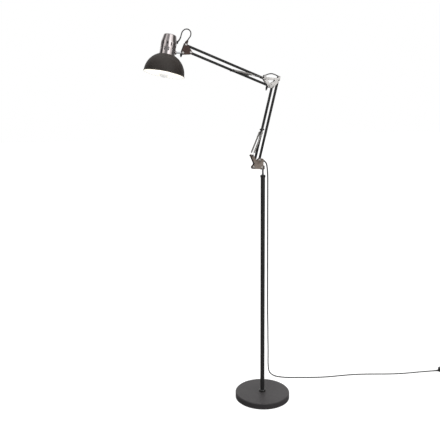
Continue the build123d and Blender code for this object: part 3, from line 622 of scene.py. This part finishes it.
def clamp_screw(name, place, body_name, node):
    """The long screw that carries a knob: a domed head near, a thread that stands out far."""
    body = bmesh.new()
    x, z = place
    screw_head(body, x, z, 0.0042)
    thread = [(0.0025, 0.0), (0.0025, 2 * plate_out)]
    for step in range(20):
        thread.append((0.0025 if step % 2 else 0.00215, 2 * plate_out + 0.0004 * (step + 1)))
    turned(body, (x, -plate_out, z), far, thread)
    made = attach(piece(name, body, screw_nickel, 30), body_name)
    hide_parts(node)


knob_plastic = skinned("knob_plastic", grey(0.008), grey(0.012), 0.36, 1300.0, 0.00003, 0.06, edge_tone=0.08)


def wing_knob(name, place, turn, reach, body_name, node):
    """A moulded hub with one flat wing that stands out to the side, with rounded corners."""
    body = bmesh.new()
    x, z = place
    start = plate_out + 0.0003
    turned(body, (x, start, z), far, [
        (0.0046, 0.0), (0.0050, 0.0004), (0.0049, 0.0020), (0.0046, 0.0046), (0.0042, 0.0056),
        (0.0034, 0.0060), (0.00275, 0.0060), (0.00265, 0.0052),
    ], 36)
    wing = bmesh.new()
    lobes = ((0.0, 0.0044), (0.55, 0.0042), (1.0, 0.0020))
    for share, radius in lobes:
        for step in range(24):
            angle = 2 * pi * step / 24
            wing.verts.new((reach * share + radius * cos(angle), radius * sin(angle), 0))
    hull = bmesh.ops.convex_hull(wing, input=wing.verts)["geom"]
    rim = [part.co.copy() for part in hull if isinstance(part, bmesh.types.BMVert)]
    wing.free()
    middle = sum(rim, Vector()) / len(rim)
    rim.sort(key=lambda spot: atan2(spot.y - middle.y, spot.x - middle.x))
    out = Vector((cos(radians(turn)), 0, sin(radians(turn))))
    over = Vector((-sin(radians(turn)), 0, cos(radians(turn))))
    levels = []
    rounding = (
        (0.0006, 0.0030), (0.0001, 0.0033), (0.0, 0.0040), (0.0, 0.0056), (0.0001, 0.0063), (0.0006, 0.0066),
    )
    for inset, depth in rounding:
        shrink = [spot + (middle - spot).normalized() * inset for spot in rim]
        root = Vector((x, start + depth, z))
        levels.append([body.verts.new(root + out * spot.x + over * spot.y) for spot in shrink])
    for low, high in zip(levels, levels[1:]):
        for k in range(len(rim)):
            body.faces.new((low[k - 1], low[k], high[k], high[k - 1]))
    body.faces.new(levels[0][::-1])
    body.faces.new(levels[-1])
    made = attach(piece(name, body, knob_plastic, 40), body_name)
    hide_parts(node)


clamp_screw("elbow_clamp_screw", elbow_clamp, "elbow", "elbow_clamp_bolt")
wing_knob("elbow_knob", elbow_clamp, 255, 0.018, "elbow_wing_nut", "elbow_wing_nut")

loop_width = 0.0044
elbow_loop_points = [
    (0.01322, 0, 1.42755), (0.02138, 0, 1.43135), (0.042, 0, 1.4346), (0.06337, 0, 1.42855),
    (0.0703, 0, 1.42455),
]
loop_way = laid_line(elbow_loop_points)
body = bmesh.new()
sweep(body, loop_way, loop_width / 2)
elbow_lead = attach(piece("elbow_lead", body, cord_jacket), "elbow")
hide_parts("elbow_loop")


# ---- the upper arm ----------------------------------------------------------------------------
# The same square tube again, two lengths that carry the head; the lower one is pulled up by a
# second pair of springs between the elbow's ear and a stud through the tube.
dress(bar_black, "upper_top_bar", "upper_bottom_bar")
dress(plug_nylon, "upper_top_plugs", "upper_bottom_plugs")
dress(black_oxide, "upper_spring_stud")
up_stud = (-0.143646, 1.442535)
springs("head_spring", (-0.005, 1.4175), up_stud, 0.055, 0.082, "upper_spring")


# ---- the head bracket and its knuckle -----------------------------------------------------------
# Two small plates in a browner pewter hold the head's tilt screw; a knob behind them clamps it.
# The knuckle on that screw is a chromed eye and rod that the head turns on.
head_pewter = plated("head_pewter", (0.055, 0.037, 0.034, 1), (0.11, 0.078, 0.070, 1), 0.36)
rod_chrome = plated(
    "rod_chrome", (0.62, 0.66, 0.69, 1), (0.74, 0.77, 0.80, 1), 0.14, (60.0, 2000.0, 2000.0), stained=0.1)
head_top, head_low, tilt_hole = (-0.34364, 1.53163), (-0.32414, 1.50363), (-0.35694, 1.50163)
dress(head_pewter, "head_plate_near", "head_plate_far")
dress(guide_nylon, "head_outlet")
dress(rod_chrome, "knuckle")
screws("head_screws", (head_top, head_low), 0.0042, "head_bracket", "head_bolts")
clamp_screw("tilt_screw", tilt_hole, "head_bracket", "tilt_bolt")
wing_knob("tilt_knob", tilt_hole, 262, 0.013, "head_wing_nut", "head_wing_nut")


# ---- the head's loop of lead --------------------------------------------------------------------
# The same thin black lead comes out of the bracket, stands up in a free loop and goes into a
# moulded gland on the cap. The loop is drawn as two halves that meet at its top.
head_loop_points = [
    (-0.37368, 0, 1.5437), (-0.36378, 0, 1.5536), (-0.3585, 0, 1.577), (-0.347, 0, 1.589), (-0.331, 0, 1.5915),
    (-0.3195, 0, 1.581), (-0.321, 0, 1.566), (-0.32932, 0, 1.55641), (-0.33391, 0, 1.54985),
]
head_way = laid_line(head_loop_points)
crest = max(range(len(head_way)), key=lambda k: head_way[k].z)
halves = (
    ("head_lead_cap_side", head_way[:crest + 1], "lamp_head", "knuckle", head_way[0], 0.066,
     (head_way[crest // 4], head_way[crest])),
    ("head_lead_arm_side", head_way[crest:], "knuckle", "head_bracket", head_way[crest], 0.052,
     (head_way[crest], head_way[-6])),
)
dress(skinned("gland_nylon", grey(0.008), grey(0.012), 0.4, 1300.0, 0.00003, 0.05), "head_gland")
for name, way, first, second, start, length, between in halves:
    body = bmesh.new()
    sweep(body, way, loop_width / 2)
    half = piece(name, body, cord_jacket)
    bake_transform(half)
    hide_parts("head_loop")
strain_relief("gland_relief", head_way, 0.0031, 0.0025, 0.020, relief_rubber, "lamp_head")


# ---- the cap ------------------------------------------------------------------------------------
# A spun steel cup over the lampholder, plated in polished black nickel. Two staggered rows of
# punched slots let the bulb's heat out below its shoulder.
head_middle = Vector((-0.41834, 0, 1.50163))
head_tilt = radians(11.7)
head_up = Vector((sin(head_tilt), 0, cos(head_tilt)))
black_nickel = plated(
    "black_nickel", (0.50, 0.455, 0.455, 1), (0.60, 0.555, 0.555, 1), 0.13, (900.0, 900.0, 140.0),
    depth=0.00001, stained=0.12, edge_tone=0.4, edge=0.0005)
dress(black_nickel, "cap")


# ---- the shade ----------------------------------------------------------------------------------
# A spun aluminium dome, sprayed matt brown-black outside and white inside, with its edge rolled
# over. Its white inside also carries a painted glow: warm light painted in to stand for the lit
# bulb's light on it. A white moulded ring holds it on the lampholder.
rim_drop = 0.0808
inner_top = 0.0694
rim_middle = head_middle - head_up * rim_drop
dome_out = 0.0774
sheet_mid = 0.0006
shade_paint = skinned(
    "shade_paint", (0.016, 0.012, 0.0095, 1), (0.020, 0.015, 0.0125, 1), 0.6, 1100.0, 0.00004, 0.1,
    edge_tone=0.1)
tree = shade_paint.node_tree
shader = tree.nodes["Principled BSDF"]
place = put(tree, "TexCoord").outputs["Object"]
from_rim = put(tree, "VectorMath", [place, rim_middle], operation="SUBTRACT").outputs[0]
away = put(tree, "VectorMath", [from_rim], operation="LENGTH").outputs["Value"]
risen = put(tree, "VectorMath", [from_rim, head_up], operation="DOT_PRODUCT").outputs["Value"]
within = maths(tree, "LESS_THAN", away, dome_out - sheet_mid)
below_top = maths(tree, "LESS_THAN", risen, inner_top)
inside = maths(tree, "MULTIPLY", within, below_top)
cloud = put(tree, "TexNoise", Vector=place, Scale=24.0, Detail=3.0).outputs["Fac"]
white_drift = colours(tree, cloud, grey(0.86, 0.01), grey(0.90, 0.01))
outside_colour = shader.inputs["Base Color"].links[0].from_socket
tree.links.new(colours(tree, inside, outside_colour, white_drift), shader.inputs["Base Color"])
# painted light: the white inside glows warm by itself, a painted stand-in for the lit bulb's light on it
tree.links.new(colours(tree, inside, grey(0.0), (0.50, 0.475, 0.41, 1)), shader.inputs["Emission Color"])
shader.inputs["Emission Strength"].default_value = 1.0
dress(shade_paint, "shade")

body = bmesh.new()
rim_side = Vector((cos(head_tilt), 0, -sin(head_tilt)))
bead = 0.0009
bead_line = rim_middle + head_up * bead
ring = []
for step in range(121):
    turn = 2 * pi * step / 120
    ring.append(bead_line + (dome_out - bead) * (rim_side * cos(turn) + Vector((0, 1, 0)) * sin(turn)))
sweep(body, ring, bead, 10)
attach(piece("shade_edge", body, shade_paint, 60), "lamp_head")

holder_white = skinned("holder_white", grey(0.70), grey(0.78), 0.35, 1200.0, 0.00002, 0.0)
dress(holder_white, "lampholder", "shade_ring")


# ---- the bulb -----------------------------------------------------------------------------------
# A small frosted lamp, lit, warm white. The frosting is even; it is brightest round its waist and
# paler and cooler at the crown, where it shows below the shade.
frosted, tree, shader = new_finish("frosted_glass")
place = put(tree, "TexCoord").outputs["Object"]
from_rim = put(tree, "VectorMath", [place, rim_middle], operation="SUBTRACT").outputs[0]
risen = put(tree, "VectorMath", [from_rim, head_up], operation="DOT_PRODUCT").outputs["Value"]
waist = spread(tree, risen, -0.006, 0.010)
frost = put(tree, "TexNoise", Vector=place, Scale=500.0, Detail=4.0)
glow = colours(tree, waist, (0.50, 0.50, 0.49, 1), (1.5, 1.4, 1.22, 1))
tree.links.new(glow, shader.inputs["Emission Color"])
shader.inputs["Emission Strength"].default_value = 1.0
tree.links.new(colours(tree, frost.outputs["Fac"], grey(0.72), grey(0.80)), shader.inputs["Base Color"])
bump = put(tree, "Bump", Strength=0.3, Distance=0.00002, Height=frost.outputs["Fac"])
tree.links.new(bump.outputs[0], shader.inputs["Normal"])
shader.inputs["Roughness"].default_value = 0.4
dress(frosted, "bulb")
